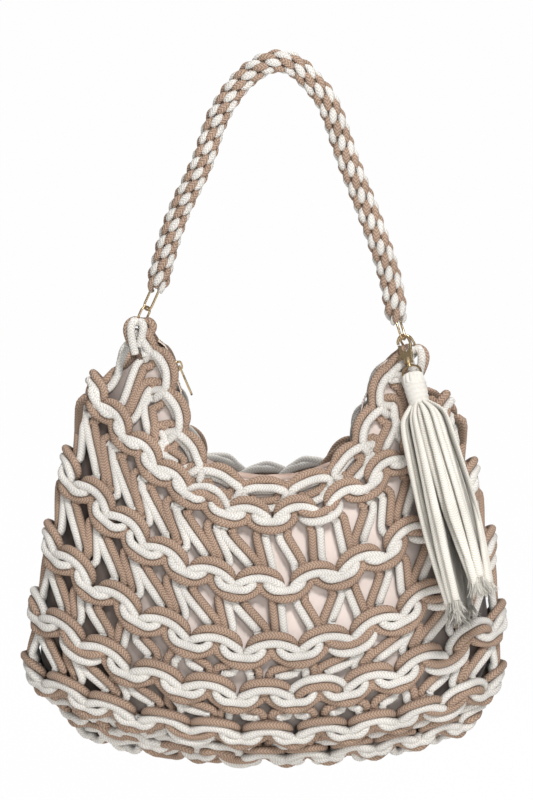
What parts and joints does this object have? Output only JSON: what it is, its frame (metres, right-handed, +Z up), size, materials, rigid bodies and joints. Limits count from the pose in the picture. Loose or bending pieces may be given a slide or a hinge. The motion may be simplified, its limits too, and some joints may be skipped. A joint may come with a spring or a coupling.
{
  "type": "crochet handbag with a cord tassel",
  "caption": "Slouchy hobo handbag netted from doubled taupe and ivory cord over a cloth lining, with an open zipped mouth, a round braided shoulder handle and a tassel on a swivel snap hook.",
  "frame": {"origin": "underside of the crown of the handle, where a hand, a shoulder or a peg holds the bag", "axes": "+Z up, front towards -Y, +X to the right of the front"},
  "size_m": [0.3888, 0.1866, 0.5741],
  "materials": {
    "taupe_cord": "matte braided cotton",
    "ivory_cord": "matte braided cotton",
    "lining_cloth": "matte woven cloth",
    "zip_cloth": "woven tape",
    "gold_metal": "polished pale gold plating"
  },
  "bodies": {
    "bag": {"net_body": "taupe_cord", "handle_braid": "taupe_cord", "lining": "lining_cloth", "zip_tape": "zip_cloth", "zip_slider": "gold_metal", "left_handle_link": "gold_metal", "left_peak_link": "gold_metal", "right_handle_link": "gold_metal", "right_peak_link": "gold_metal", "snap_hook": "gold_metal"},
    "tassel_on_swivel": {"swivel_eye": "gold_metal", "tassel": "ivory_cord"},
    "gate": {"snap_gate": "gold_metal"},
    "pull": {"zip_pull": "gold_metal"}
  },
  "joints": [
    {"name": "tassel_swivel", "type": "hinge", "parent": "bag", "child": "tassel_on_swivel", "pos_m": [0.10279, -0.01723, -0.23014], "axis": [-0.2368, 0.364, 0.9008], "continuous": true},
    {"name": "gate_hinge", "type": "hinge", "parent": "bag", "child": "gate", "pos_m": [0.0996, -0.0142, -0.2241], "axis": [0.3323, 0.9016, -0.2769], "range_deg": [0, 28], "stiffness_Nm_per_rad": 0.01, "springref_deg": -11.46},
    {"name": "pull_hinge", "type": "hinge", "parent": "bag", "child": "pull", "pos_m": [-0.08026, 0, -0.23497], "axis": [0, -1, 0], "range_deg": [0, 140]}
  ]
}
